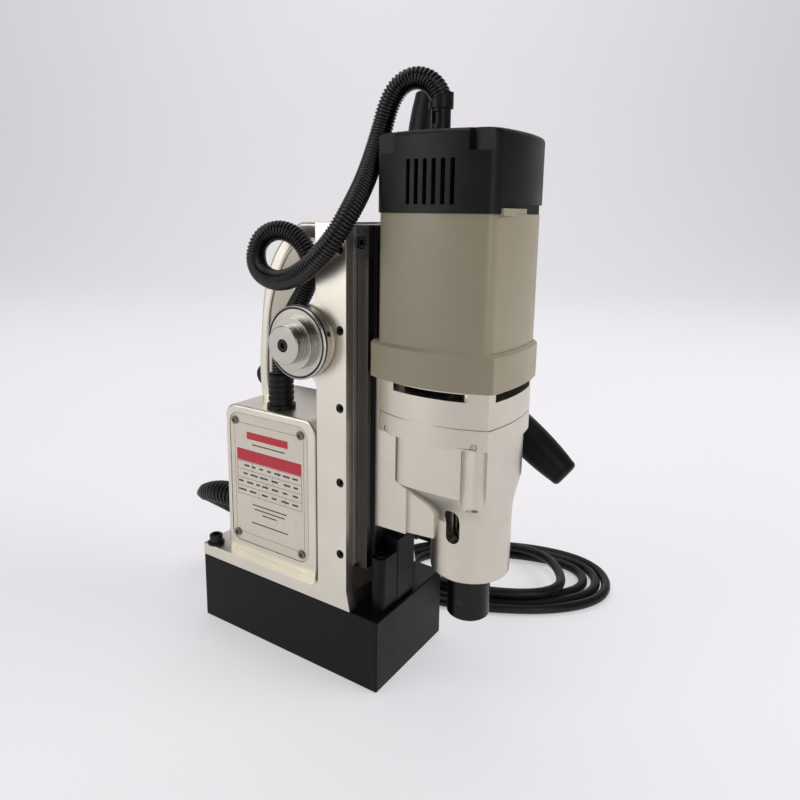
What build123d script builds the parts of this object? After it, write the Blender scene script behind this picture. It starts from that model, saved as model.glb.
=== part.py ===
from build123d import *
import math
import os

os.makedirs("parts", exist_ok=True)

# Magnetic drill press. Millimetres, +Z up, drill at -Y, cord at +Y.
# The origin is the centre of the magnet's holding face.

# ---- driving dimensions ----
MAGNET_LENGTH = 165.0
MAGNET_WIDTH = 85.5
MAGNET_HEIGHT = 51.9
FOOT_TOP = 61.0
COLUMN_TOP = 310.0
CHEEK_OUT = 42.5
CHEEK_IN = 34.5
CHEEK_FRONT = -57.0
CHEEK_REAR = -33.0
BOX_HALF_WIDTH = 34.5
BOX_FRONT = -24.5
BOX_REAR = 62.0
BOX_TOP = 176.5
SLIDE_HALF_WIDTH = 30.7
SLIDE_FRONT = -65.5
SLIDE_BACK = -41.0
SLIDE_BOTTOM = 80.0
SLIDE_SPLIT = 288.7
FEED_Y = -24.0
FEED_Z = 234.0
FEED_MODULE = 1.75
FEED_TEETH = 16
MOTOR_Y = -112.4
SPINDLE_Y = -127.0
ARMATURE_Y = -112.0
SPINDLE_NOSE = 56.0
NOSE_BOTTOM = 89.0
CASE_BOTTOM = 110.5
BODY_TOP = 180.4
BAND_TOP = 215.4
COLLAR_TOP = 236.0
HOUSING_TOP = 316.5
CAP_TOP = 362.0
MOTOR_BORE = 34.1
WELDON_RADIUS = 9.525
HUB_RADIUS = 24.2
CAPSTAN_X = 79.0
CAPSTAN_REACH = 171.0
FIRST_ARM_ANGLE = 96.0
CONDUIT_RADIUS = 6.8
CORD_RADIUS = 3.9
RUN_GAP = 0.05

# ---- where the small parts sit ----
POLE_Y = (-38.0, 38.0)
FOOT_SCREWS = [(-37.4, 74.2), (37.4, 74.2)]
STOP_SCREWS = [(-23.5, -73.0), (-3.0, -73.5)]
STOP_TOPS = [90.0, 98.0]
PANEL_X = (BOX_HALF_WIDTH - 2.5, BOX_HALF_WIDTH + 1.0)
PANEL_Y = (-19.0, 57.0)
PANEL_Z = (66.0, 171.5)
PANEL_SCREWS = [(y, z) for y in (-14.5, 52.5) for z in (70.5, 167.0)]
PLATE_Y = (-17.8, 58.0)
PLATE_Z = (69.5, 171.0)
PLATE_SCREWS = [(y, z) for y in (-11.3, 52.2) for z in (75.9, 164.6)]
START_Y, STOP_Y, BUTTON_Z = 34.0, 4.0, 138.0
ROCKER_PIN_X, ROCKER_Y, ROCKER_Z = 28.5, 19.0, 96.0
ROCKER_HALF = 7.0
LENS_Y, LENS_Z = 19.0, 160.0
GLAND_XY = (-20.0, 19.0)
GLAND_TOP = BOX_TOP + 25.5
BOOT_X = -15.0
BOOT_Z = 93.0
BOOT_STATIONS = [((-15.0, 84.0, 92.0), 9.6), ((-13.0, 103.0, 88.5), 8.0), ((-7.0, 119.0, 82.0), 6.2)]
GIB_SCREW_HEIGHTS = [91.9 + 50.5 * step for step in range(5)]
GIB_SCREW_Y = -52.0
RACK_PITCH_Y = FEED_Y - FEED_MODULE * FEED_TEETH / 2
RACK_BACK = RACK_PITCH_Y - 8.0
RACK_HALF_WIDTH = 6.0
TOP_SCREW_Y, TOP_SCREW_Z = -60.0, 298.0
TOP_SCREW_SEAT = -SLIDE_HALF_WIDTH + 5.0
O_RING_SLOTS = ((-51.0, -49.4), (49.4, 51.0))
ARM_ANGLES = [FIRST_ARM_ANGLE + 120 * arm for arm in range(3)]
GRIP_LENGTH = 82.0
LAYSHAFT_XY = (17.7, -115.25)
GEAR_PLATE_Z = (200.0, 207.5)
CASE_SCREWS = [(x, MOTOR_Y + y) for x in (-30.5, 30.5) for y in (-29.6, 29.6)]
CASE_SCREW_SEAT = BODY_TOP + 4.2
CAP_SCREWS = [(x, MOTOR_Y + y) for x in (-28.5, 28.5) for y in (-33.0, 33.0)]
CAP_SCREW_SEAT = 350.0
VENT_YS = [-99.1 - 5.7 * slot for slot in range(6)]
FITTING_XY = (-3.0, -98.4)
ARBOR_SCREW_ANGLES = (60.0, 180.0)
DRIFT_Z = (114.5, 138.0)
DRIFT_HALF_WIDTH = 4.75
AIR_SLOT_Z = (209.5, 214.2)
TAB_X = (-29.0, 2.5)

# ---- outlines of the drill head: half sizes, then corners, then corner radius ----
BAND = (39.7, 42.3, 30.0, 38.6, 1.2)
BAND_SEAM = (39.3, 41.9, 29.6, 38.2, 1.2)
COLLAR = (42.0, 46.4, 32.0, 42.6, 2.0)
HOUSING = (40.0, 42.0, 33.5, 38.0, 9.0)
CAP = (41.0, 43.0, 34.3, 38.8, 9.0)
BODY_CENTRE_Y = -117.2
BODY_HALF = (37.2, 33.8)
BODY_SQUARENESS = 4.5
NOSE_RADIUS = 25.8
FUNNEL = [(0.0, 149.5), (0.22, 145.0), (0.60, 138.0), (0.89, 131.5), (1.0, 127.0)]

# ---- routes ----
CONDUIT_ROUTE = [
    (*FITTING_XY, CAP_TOP + 22), (-3.5, -95, 392), (-6, -84, 397.5), (-8.5, -73, 394), (-11, -66, 383),
    (-14, -61.5, 362), (-29.3, -62.7, 336.8), (-47.6, -63.8, 316.5), (-55.3, -55.2, 299.8),
    (-54.5, -37, 286), (-48, -11, 277), (-40, 15, 279), (-34, 27, 290), (-28, 15, 301),
    (-25, -1, 299.5), (-22.5, -12, 287), (-21.5, -9.5, 268), (-21.5, 8, 244),
    (*GLAND_XY, 226), (*GLAND_XY, GLAND_TOP),
]
CORD_ROUTE = [
    (-7.0, 119.0, 82.0), (-1.5, 133, 76.5), (11, 145, 67), (29, 151.5, 54), (50, 149, 37), (69, 139, 18.5),
    (85, 122, 6.5), (99, 99, 4.0), (108, 70, 4.0), (111, 40, 4.0), (109, 12, 4.0),
]
COIL_CENTRE = (148.0, -82.0)
COIL_OUTER = (60.0, 104.0)
COIL_INNER = (24.0, 62.0)
COIL_TILT = 22.0
COIL_HEIGHT = 14.0
PLUG_AT = (150.0, 3.0)


# ---- small helpers ----
def block(x, y, z):
    """Box from its low and high values along each axis."""
    spans = (x, y, z)
    centre = [(low + high) / 2 for low, high in spans]
    return Pos(*centre) * Box(*[high - low for low, high in spans])


def rod_x(radius, x, y, z):
    return Pos((x[0] + x[1]) / 2, y, z) * Rot(0, 90, 0) * Cylinder(radius, x[1] - x[0])


def rod_y(radius, x, y, z):
    return Pos(x, (y[0] + y[1]) / 2, z) * Rot(90, 0, 0) * Cylinder(radius, y[1] - y[0])


def rod_z(radius, x, y, z):
    return Pos(x, y, (z[0] + z[1]) / 2) * Cylinder(radius, z[1] - z[0])


def ring_z(outer, inner, x, y, z):
    return rod_z(outer, x, y, z) - rod_z(inner, x, y, (z[0] - 1, z[1] + 1))


def side_plate(points, x):
    """Solid with an outline in the Y-Z plane, from x[0] to x[1]."""
    outline = Polyline(*[(0, y, z) for y, z in points], close=True)
    return Pos(x[0], 0, 0) * extrude(make_face(outline), x[1] - x[0], dir=(1, 0, 0))


def rounded_panel(y, z, radius, x, corners=4):
    """Plate in the Y-Z plane; corners=2 rounds only its upper two."""
    panel = block(x, y, z)
    upright = panel.edges().filter_by(Axis.X).sort_by(Axis.Z)
    return fillet(upright[-corners:], radius)


def cap_screw(head_radius, head_height, shank_radius, shank_length):
    """Hexagon socket screw seated on the origin, head along +Z."""
    head = Pos(0, 0, head_height / 2) * Cylinder(head_radius, head_height)
    head = chamfer(head.edges().sort_by(Axis.Z)[-1], head_radius * 0.12)
    shank = Pos(0, 0, -shank_length / 2) * Cylinder(shank_radius, shank_length)
    key = extrude(Pos(0, 0, head_height * 0.4) * RegularPolygon(head_radius * 0.55, 6), head_height)
    return head + shank - key


def placed(shape, origin, direction):
    """Turn a shape's +Z to a direction and put it at a point."""
    return Plane(origin=origin, z_dir=direction).location * shape


def involute_gear(module, teeth, height, shaft=0.0):
    """Spur gear with stub teeth at 25 degrees, standing on the origin."""
    pressure = math.radians(25)
    pitch = module * teeth / 2
    base = pitch * math.cos(pressure)
    tip = pitch + 0.8 * module
    root = pitch - 1.05 * module
    backlash = 0.10 * module / pitch
    half_tooth = math.pi / (2 * teeth) - backlash / 2
    inv_pitch = math.tan(pressure) - pressure
    start = max(base, root)
    flank = []
    for step in range(6):
        radius = start + (tip - start) * step / 5
        roll = math.acos(min(1.0, base / radius))
        flank.append((radius, half_tooth + inv_pitch - (math.tan(roll) - roll)))
    points = []
    for tooth in range(teeth):
        mid = 2 * math.pi * tooth / teeth
        points.append((root, mid - flank[0][1] - 0.01))
        points += [(radius, mid - angle) for radius, angle in flank]
        points += [(radius, mid + angle) for radius, angle in reversed(flank)]
        points.append((root, mid + flank[0][1] + 0.01))
    outline = Polyline(*[(r * math.cos(a), r * math.sin(a)) for r, a in points], close=True)
    gear = extrude(make_face(outline), height)
    return gear - rod_z(shaft, 0, 0, (-1, height + 1)) if shaft else gear


def rounded_section(half_x, half_y, corner_x, corner_y, radius):
    """Face with four bowed sides, widest at the middle of each."""
    corners = [(-corner_x, -corner_y), (corner_x, -corner_y), (corner_x, corner_y), (-corner_x, corner_y)]
    middles = [(0, -half_y), (half_x, 0), (0, half_y), (-half_x, 0)]
    sides = [
        ThreePointArc(corners[i], middles[i], corners[(i + 1) % 4])
        for i in range(4)
    ]
    face = make_face(sides)
    return fillet(face.vertices(), radius)


def prism(section, y, z):
    return Pos(0, y, z[0]) * extrude(section, z[1] - z[0])


def tube_route(points, radius, name):
    """Straight runs joined by tangent arcs, swept with a round section."""
    corners = [Vector(*point) for point in points]
    radii = []
    for before, corner, after in zip(corners, corners[1:], corners[2:]):
        run_in = corner - before
        run_out = after - corner
        half_turn = math.radians(run_in.get_angle(run_out)) / 2
        radii.append(0.45 * min(run_in.length, run_out.length) / math.tan(half_turn))
    path = FilletPolyline(*corners, radius=radii)
    start = Plane(origin=corners[0], z_dir=corners[1] - corners[0])
    tube = sweep(start * Circle(radius), path=path)
    expected = math.pi * radius**2 * path.length
    print(f"{name}: length {path.length:.0f} mm, least radius {min(radii):.1f} mm")
    print(f"{name}: radii {[round(value, 1) for value in radii]}")
    print(f"{name}: volume over section times length {tube.volume / expected:.4f}")
    return tube


def save(name, shape):
    shape = Compound(children=[shape]) if isinstance(shape, ShapeList) else shape
    export_step(shape, f"parts/{name}.step")


# ---- magnet base ----


def pole_ring(outer_x, outer_y, inner_x, inner_y, z):
    """Two rectangular rings, one round each magnet pole."""
    rings = []
    for y in POLE_Y:
        outer = block((-outer_x, outer_x), (y - outer_y, y + outer_y), z)
        inner = block((-inner_x, inner_x), (y - inner_y, y + inner_y), (z[0] - 1, z[1] + 1))
        rings.append(outer - inner)
    return rings


def magnet_housing():
    body = block(
        (-MAGNET_WIDTH / 2, MAGNET_WIDTH / 2), (-MAGNET_LENGTH / 2, MAGNET_LENGTH / 2), (0, MAGNET_HEIGHT)
    )
    body = chamfer(body.edges(), 0.8)
    for groove in pole_ring(34, 31, 20, 17, (-1, 36)):
        body -= groove
    for x, y in FOOT_SCREWS:
        body -= rod_z(3.0, x, y, (MAGNET_HEIGHT - 12, MAGNET_HEIGHT + 1))
    return body


# ---- stand casting: cheeks, web, foot and junction box shell ----
def cheek_outline():
    """Outline of one cheek with the feed boss and the foot's edge."""
    front = Polyline(
        (CHEEK_FRONT - 3, MAGNET_HEIGHT), (CHEEK_FRONT, 66), (CHEEK_FRONT, COLUMN_TOP),
        (CHEEK_REAR, COLUMN_TOP), (CHEEK_REAR, MAGNET_HEIGHT), close=True,
    )
    cheek = make_face(front)
    boss = Pos(FEED_Y, FEED_Z) * Circle(23)
    edge = make_face(Polyline(
        (CHEEK_REAR - 4, MAGNET_HEIGHT), (MAGNET_LENGTH / 2, MAGNET_HEIGHT),
        (MAGNET_LENGTH / 2, FOOT_TOP), (CHEEK_REAR - 4, FOOT_TOP), close=True,
    ))
    outline = cheek + boss + edge
    inner = [v for v in outline.vertices() if abs(v.X - CHEEK_REAR) < 0.01 and v.Y < COLUMN_TOP - 1]
    return fillet(inner, 8)


def junction_box_shell():
    """Box behind the column, open on its operator side."""
    width = (-BOX_HALF_WIDTH, BOX_HALF_WIDTH)
    inside = (-30, BOX_HALF_WIDTH - 4)
    shell = rounded_panel((BOX_FRONT, BOX_REAR), (FOOT_TOP - 1, BOX_TOP), 10, width, 2)
    rim_edges = shell.faces().sort_by(Axis.X)[0].edges()
    shell = fillet(rim_edges, 1.5)
    hollow = rounded_panel((BOX_FRONT + 5, BOX_REAR - 4), (FOOT_TOP + 3, BOX_TOP - 4), 6, inside, 2)
    mouth = rounded_panel((BOX_FRONT + 9, BOX_REAR - 8), (FOOT_TOP + 7, BOX_TOP - 8), 4, (20, 40))
    seat = rounded_panel(PANEL_Y, PANEL_Z, 8, (BOX_HALF_WIDTH - 2.5, 40))
    plate_seat = rounded_panel(PLATE_Y, PLATE_Z, 9, (-40, -BOX_HALF_WIDTH + 1.5))
    shell = shell - hollow - mouth - seat - plate_seat
    for y, z in PANEL_SCREWS:
        shell -= rod_x(1.55, (22, 40), y, z)
    for y, z in PLATE_SCREWS:
        shell -= rod_x(1.55, (-40, -29), y, z)
    shell -= rod_z(7.05, *GLAND_XY, (BOX_TOP - 6, BOX_TOP + 1))
    return shell - rod_y(9.05, BOOT_X, (BOX_REAR - 6, BOX_REAR + 1), BOOT_Z)


def stand_frame():
    cheek = extrude(Plane.YZ * cheek_outline(), CHEEK_OUT - CHEEK_IN)
    left = Pos(-CHEEK_OUT, 0, 0) * cheek
    right = Pos(CHEEK_IN, 0, 0) * cheek
    web = block((-CHEEK_IN, CHEEK_IN), (-35.5, -26), (MAGNET_HEIGHT, COLUMN_TOP))
    neck = block((-30, 30), (-27, BOX_FRONT + 1), (MAGNET_HEIGHT, BOX_TOP - 12))
    foot = block((-CHEEK_IN, CHEEK_IN), (CHEEK_FRONT, MAGNET_LENGTH / 2), (MAGNET_HEIGHT, FOOT_TOP))
    boss = rod_x(23, (-CHEEK_OUT, CHEEK_OUT), FEED_Y, FEED_Z)
    boss -= block((-CHEEK_IN, CHEEK_IN), (-60, -35.5), (200, 270))
    frame = left + right + web + neck + foot + boss + junction_box_shell()
    for x0, x1 in ((-CHEEK_OUT - 1.5, -CHEEK_OUT), (CHEEK_OUT, CHEEK_OUT + 1.5)):
        frame += rod_x(23, (x0, x1), FEED_Y, FEED_Z)
    frame -= rod_x(16.6, (-50, 50), FEED_Y, FEED_Z)
    for z in GIB_SCREW_HEIGHTS:
        frame -= rod_x(3.05, (-50, -CHEEK_IN + 1), GIB_SCREW_Y, z)
    for x, y in FOOT_SCREWS:
        frame -= rod_z(3.3, x, y, (MAGNET_HEIGHT - 1, FOOT_TOP + 1))
    return frame


def carry_handle():
    """D-handle from the column's top to the junction box."""
    outer = [(-26, 310), (6, 309.5), (15.5, 304), (35, 280.5), (43.5, 252), (47, 222), (48.5, 196)]
    outer.append((46, BOX_TOP))
    inner = [(35, BOX_TOP), (39, 190), (38.8, 222), (35.5, 249), (28, 270), (13.5, 291), (-2, 297)]
    inner.append((-26, 297))
    outline = make_face([
        Polyline((0, *outer[0]), (0, *outer[1])),
        Spline(*[(0, y, z) for y, z in outer[1:]]),
        Polyline((0, *outer[-1]), (0, *inner[0])),
        Spline(*[(0, y, z) for y, z in inner[:-1]]),
        Polyline((0, *inner[-2]), (0, *inner[-1])),
        Polyline((0, *inner[-1]), (0, *outer[0])),
    ])
    handle = Pos(-12, 0, 0) * extrude(outline, 24, dir=(1, 0, 0))
    sides = handle.faces().filter_by(Axis.X)
    edges = [e for face in sides for e in face.edges() if e.length > 20]
    return fillet(edges, 2.5)


# ---- slide, gibs and rack ----
def slide_outline():
    """Half-widths of the slide down its depth, with a V groove each side."""
    half = SLIDE_HALF_WIDTH
    return [(half, SLIDE_FRONT), (half, -50.5), (half - 3, -47), (half, -43.5), (half, SLIDE_BACK)]


def slide_bar(z):
    side = slide_outline()
    points = side + [(-x, y) for x, y in reversed(side)]
    bar = extrude(make_face(Polyline(*points, close=True)), z[1] - z[0])
    pad = block((-24.5, 24.5), (SLIDE_FRONT - 2, SLIDE_FRONT + 1), (0, z[1] - z[0]))
    return Pos(0, 0, z[0]) * (bar + pad)


def rack_slot():
    half = RACK_HALF_WIDTH + 0.1
    return block((-half, half), (RACK_BACK, 0), (0, 400))


def slide():
    return slide_bar((SLIDE_BOTTOM, SLIDE_SPLIT)) - rack_slot()


def top_block():
    head = slide_bar((SLIDE_SPLIT, COLUMN_TOP - 1))
    head = fillet(head.edges().group_by(Axis.Z)[-1], 0.8)
    head -= rack_slot()
    head -= rod_x(4.0, (-40, TOP_SCREW_SEAT), TOP_SCREW_Y, TOP_SCREW_Z)
    return head - rod_x(2.05, (-40, TOP_SCREW_SEAT + 11), TOP_SCREW_Y, TOP_SCREW_Z)


def rack():
    """Straight rack whose teeth mesh with the feed pinion."""
    pitch = math.pi * FEED_MODULE
    slope = math.tan(math.radians(25))
    tip_y = RACK_PITCH_Y + 0.8 * FEED_MODULE
    root_y = RACK_PITCH_Y - 1.05 * FEED_MODULE
    half_pitch_tooth = pitch / 4 - 0.05 * FEED_MODULE
    half_tip = half_pitch_tooth - 0.8 * FEED_MODULE * slope
    half_root = half_pitch_tooth + 1.05 * FEED_MODULE * slope
    bottom, top = SLIDE_BOTTOM + 6, SLIDE_SPLIT + 18
    points = [(RACK_BACK, bottom), (root_y, bottom)]
    first = math.ceil((bottom - FEED_Z + half_root) / pitch - 0.5) + 0.5
    centre = FEED_Z + first * pitch
    while centre + half_root < top:
        points += [(root_y, centre - half_root), (tip_y, centre - half_tip)]
        points += [(tip_y, centre + half_tip), (root_y, centre + half_root)]
        centre += pitch
    points += [(root_y, top), (RACK_BACK, top)]
    return side_plate(points, (-RACK_HALF_WIDTH, RACK_HALF_WIDTH))


def gib_strips():
    """Bearing strips between cheeks and slide, with a V ridge each."""
    inner = SLIDE_HALF_WIDTH + 0.3
    points = [
        (CHEEK_IN, CHEEK_FRONT), (inner, CHEEK_FRONT), (inner, -50.3), (inner - 2.7, -47),
        (inner, -43.7), (inner, -36), (CHEEK_IN, -36),
    ]
    strip = Pos(0, 0, 82) * extrude(make_face(Polyline(*points, close=True)), 227)
    return [strip, mirror(strip, Plane.YZ)]


def gib_set_screws():
    screws = []
    for z in GIB_SCREW_HEIGHTS:
        screw = rod_x(3.0, (-CHEEK_OUT + 1.2, -CHEEK_IN), GIB_SCREW_Y, z)
        key = placed(extrude(RegularPolygon(1.6, 6), 3), (-CHEEK_OUT + 3.4, GIB_SCREW_Y, z), (-1, 0, 0))
        screws.append(screw - key)
    return screws


# ---- feed shaft, hub and capstan ----
def feed_shaft():
    shaft = rod_x(10, (-52, 88), FEED_Y, FEED_Z)
    pinion = involute_gear(FEED_MODULE, FEED_TEETH, 16)
    shaft += Pos(-8, FEED_Y, FEED_Z) * Rot(0, 90, 0) * pinion
    return shaft - rod_x(2.55, (-60, -36), FEED_Y, FEED_Z) - rod_x(2.55, (70, 95), FEED_Y, FEED_Z)


def hub_flange(x, slot):
    """Disc with a groove for the O-ring on its rim."""
    disc = rod_x(HUB_RADIUS, x, FEED_Y, FEED_Z)
    disc = chamfer(disc.edges(), 0.7)
    groove = rod_x(HUB_RADIUS + 1, slot, FEED_Y, FEED_Z)
    return disc - (groove - rod_x(HUB_RADIUS - 1.3, (x[0] - 5, x[1] + 5), FEED_Y, FEED_Z))


def left_hub():
    hub = hub_flange((-52.3, -44.3), O_RING_SLOTS[0])
    hub += rod_x(17.0, (-57.5, -51), FEED_Y, FEED_Z) + rod_x(12.4, (-64.6, -56), FEED_Y, FEED_Z)
    hub = chamfer(hub.edges().filter_by(GeomType.CIRCLE).sort_by(Axis.X)[0], 0.6)
    hub -= rod_x(10.02, (-52, -40), FEED_Y, FEED_Z)
    hub -= rod_x(4.2, (-66, -61.5), FEED_Y, FEED_Z) + rod_x(2.6, (-63, -50), FEED_Y, FEED_Z)
    hub -= rod_y(1.3, -47.3, (-60, -35), FEED_Z).rotate(Axis((0, FEED_Y, FEED_Z), (1, 0, 0)), -18)
    return hub


def o_rings():
    """Rubber rings in the grooves of both hub flanges."""
    rings = []
    for low, high in O_RING_SLOTS:
        outer = rod_x(HUB_RADIUS - 0.1, (low + 0.1, high - 0.1), FEED_Y, FEED_Z)
        rings.append(outer - rod_x(HUB_RADIUS - 1.3, (low - 1, high + 1), FEED_Y, FEED_Z))
    return rings


def capstan_hub():
    hub = hub_flange((44.3, 52.3), O_RING_SLOTS[1])
    hub += rod_x(16, (50, 66), FEED_Y, FEED_Z) + chamfer(
        rod_x(21, (65, 93), FEED_Y, FEED_Z).edges().sort_by(Axis.X)[-1], 1.5
    )
    hub -= rod_x(10.02, (40, 88), FEED_Y, FEED_Z) + rod_x(5.2, (90.5, 95), FEED_Y, FEED_Z)
    hub -= rod_x(2.6, (85, 95), FEED_Y, FEED_Z)
    for angle in ARM_ANGLES:
        hub -= radial_rod(6.02, 11.5, 30, angle)
    return hub


def radial_rod(radius, near, far, angle):
    """Rod standing out from the feed axis in the capstan's plane."""
    rod = Pos(0, 0, (near + far) / 2) * Cylinder(radius, far - near)
    direction = (0, math.cos(math.radians(angle)), math.sin(math.radians(angle)))
    return placed(rod, (CAPSTAN_X, FEED_Y, FEED_Z), direction)


def grip(angle):
    """Barrel-shaped grip with a shallow flute at its neck."""
    near = CAPSTAN_REACH - GRIP_LENGTH
    profile = make_face([
        Polyline((6.05, 0), (9.5, 0)),
        Spline((9.5, 0), (12.3, 16), (13.5, 40), (12.8, 60), (10.6, 78)),
        ThreePointArc((10.6, 78), (9.6, 81), (6.8, GRIP_LENGTH)),
        Polyline((6.8, GRIP_LENGTH), (0, GRIP_LENGTH), (0, 74), (6.05, 74), (6.05, 0)),
    ])
    body = revolve(Plane.XZ * profile, Axis.Z)
    direction = (0, math.cos(math.radians(angle)), math.sin(math.radians(angle)))
    return placed(Pos(0, 0, near) * body, (CAPSTAN_X, FEED_Y, FEED_Z), direction)


# ---- drill head: gear case, motor and spindle ----


def blend_section(share, z):
    """Section part way from the case body's outline to the nose circle."""
    half_x, half_y = BODY_HALF
    points = []
    for step in range(40):
        angle = 2 * math.pi * step / 40
        cos, sin = math.cos(angle), math.sin(angle)
        spread = abs(cos / half_x) ** BODY_SQUARENESS + abs(sin / half_y) ** BODY_SQUARENESS
        reach = spread ** (-1 / BODY_SQUARENESS)
        body = (reach * cos, BODY_CENTRE_Y + reach * sin)
        nose = (NOSE_RADIUS * cos, SPINDLE_Y + NOSE_RADIUS * sin)
        points.append(tuple(b + (n - b) * share for b, n in zip(body, nose)) + (z,))
    return make_face(Spline(*points, periodic=True))


def case_outside():
    """Nose, funnel, body, bracket and flange in one casting."""
    funnel_top, funnel_foot = FUNNEL[0][1], FUNNEL[-1][1]
    nose = extrude(blend_section(1.0, NOSE_BOTTOM), funnel_foot - NOSE_BOTTOM, dir=(0, 0, 1))
    case = fillet(nose.edges().sort_by(Axis.Z)[0], 1.5)
    case += loft([blend_section(share, z) for share, z in FUNNEL])
    case += extrude(blend_section(0.0, funnel_top), BODY_TOP + 1 - funnel_top, dir=(0, 0, 1))
    bracket = [(-24.5, -67.6), (24.5, -67.6), (19.5, SPINDLE_Y + 16), (-19.5, SPINDLE_Y + 16)]
    case += Pos(0, 0, CASE_BOTTOM) * extrude(make_face(Polyline(*bracket, close=True)), 40)
    case += block((-24.5, 24.5), (-92, -67.6), (CASE_BOTTOM, BAND_TOP))
    return case + prism(rounded_section(*BAND), MOTOR_Y, (BODY_TOP, BAND_TOP))


def gear_case():
    case = case_outside()
    seam = prism(rounded_section(*BAND), MOTOR_Y, (193.0, 193.5))
    seam -= prism(rounded_section(*BAND_SEAM), MOTOR_Y, (192, 194))
    seam -= block((-26, 26), (-80, -60), (192, 194))
    case -= seam
    for x, y in CASE_SCREWS:
        case -= rod_z(3.8, x, y, (BODY_TOP - 1, CASE_SCREW_SEAT)) + rod_z(2.05, x, y, (BODY_TOP, 230))
    for side in (-34, 34):
        case -= rod_z(8.5, side, -145, (140, BODY_TOP))
    case -= rod_z(33.5, 0, ARMATURE_Y, (152, 199.9)) + rod_z(MOTOR_BORE, 0, ARMATURE_Y, (199.9, 230))
    case -= rod_z(16.5, 0, SPINDLE_Y, (100, 146)) + rod_z(15.05, 0, SPINDLE_Y, (145, 160))
    case -= rod_z(21.05, 0, SPINDLE_Y, (80, 106)) + rod_z(5.5, *LAYSHAFT_XY, (146, 155))
    low, high = DRIFT_Z[0] + DRIFT_HALF_WIDTH, DRIFT_Z[1] - DRIFT_HALF_WIDTH
    case -= block((-60, 60), (SPINDLE_Y - DRIFT_HALF_WIDTH, SPINDLE_Y + DRIFT_HALF_WIDTH), (low, high))
    for z in (low, high):
        case -= rod_x(DRIFT_HALF_WIDTH, (-60, 60), SPINDLE_Y, z)
    for sign in (-1, 1):
        case -= block((sign * 36 - 9, sign * 36 + 9), (-139, -88.5), AIR_SLOT_Z)
    return case - block((-25, 25), (-170, -136), AIR_SLOT_Z)


def motor_housing():
    """Moulded motor shell with the flared collar at its foot."""
    shell = prism(rounded_section(*COLLAR), MOTOR_Y + 1.8, (BAND_TOP, COLLAR_TOP + 2.5))
    shell = chamfer(shell.edges().group_by(Axis.Z)[-1], 1.8)
    shell -= block((-60, 60), (-69.0, -40), (0, 400))
    shell += prism(rounded_section(*HOUSING), MOTOR_Y, (COLLAR_TOP, HOUSING_TOP))
    shell += block(TAB_X, (MOTOR_Y - 41.6, MOTOR_Y - 37), (HOUSING_TOP - 1, HOUSING_TOP + 3.1))
    shell -= rod_z(MOTOR_BORE, 0, ARMATURE_Y, (200, 400))
    for x, y in CASE_SCREWS:
        shell -= rod_z(2.0, x, y, (200, 232))
    for x, y in CAP_SCREWS:
        shell -= rod_z(1.8, x, y, (300, 330))
    return shell


def motor_end_cap():
    cap = prism(rounded_section(*CAP), MOTOR_Y, (HOUSING_TOP, CAP_TOP))
    cap = fillet(cap.edges().group_by(Axis.Z)[-1], 3.5)
    cap -= rod_z(MOTOR_BORE, 0, ARMATURE_Y, (300, CAP_TOP - 5))
    cap += rod_z(15, 0, ARMATURE_Y, (344.5, CAP_TOP - 4.5))
    cap -= rod_z(11.05, 0, ARMATURE_Y, (340, 353)) + rod_z(6, 0, ARMATURE_Y, (340, 357))
    for y in VENT_YS:
        for sign in (-1, 1):
            cap -= block((sign * 36 - 8, sign * 36 + 8), (y - 1.3, y + 1.3), (321.3, 346.2))
    for x, y in CAP_SCREWS:
        corner_x = sorted((math.copysign(33.8, x), math.copysign(60, x)))
        corner_y = sorted((y + math.copysign(9, MOTOR_Y - y), y + math.copysign(30, y - MOTOR_Y)))
        cap -= block(corner_x, corner_y, (CAP_SCREW_SEAT, 370)) + rod_z(4.6, x, y, (CAP_SCREW_SEAT, 370))
        cap -= rod_z(2.05, x, y, (300, 360))
    cap -= block((TAB_X[0] - 0.2, 50), (MOTOR_Y - 50, MOTOR_Y - 36.2), (300, HOUSING_TOP + 5.4))
    return cap - rod_z(5.0, *FITTING_XY, (CAP_TOP - 3.6, CAP_TOP + 5))


def gear_plate():
    plate = rod_z(MOTOR_BORE - RUN_GAP, 0, ARMATURE_Y, GEAR_PLATE_Z)
    plate -= rod_z(9.55, 0, ARMATURE_Y, (190, 220))
    return plate - rod_z(5.5, *LAYSHAFT_XY, (190, 204))


def armature_core():
    core = ring_z(21.5, 5.05, 0, ARMATURE_Y, (241, 283))
    for slot in range(12):
        cutter = block((18.5, 23), (-0.9, 0.9), (240, 284)) + rod_z(2.2, 16.5, 0, (240, 284))
        core -= Pos(0, ARMATURE_Y, 0) * (Rot(0, 0, 30 * slot) * cutter)
    return core


def cooling_fan():
    fan = ring_z(30, 5.05, 0, ARMATURE_Y, (222.0, 224.0)) + ring_z(8, 5.05, 0, ARMATURE_Y, (212, 223))
    for blade in range(12):
        vane = block((9, 29.5), (-0.8, 0.8), (210.5, 223))
        fan += Pos(0, ARMATURE_Y, 0) * (Rot(0, 0, 30 * blade) * vane)
    return fan


def commutator():
    ring = ring_z(13, 5.05, 0, ARMATURE_Y, (298, 314))
    for bar in range(24):
        ring -= Pos(0, ARMATURE_Y, 0) * (Rot(0, 0, 15 * bar) * block((12, 14), (-0.25, 0.25), (297, 315)))
    return ring


def armature_shaft():
    shaft = rod_z(5, 0, ARMATURE_Y, (199, 352))
    pinion = involute_gear(1.0, 9, 13)
    return shaft + Pos(0, ARMATURE_Y, 187) * Rot(0, 0, ARMATURE_TURN) * pinion


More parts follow.
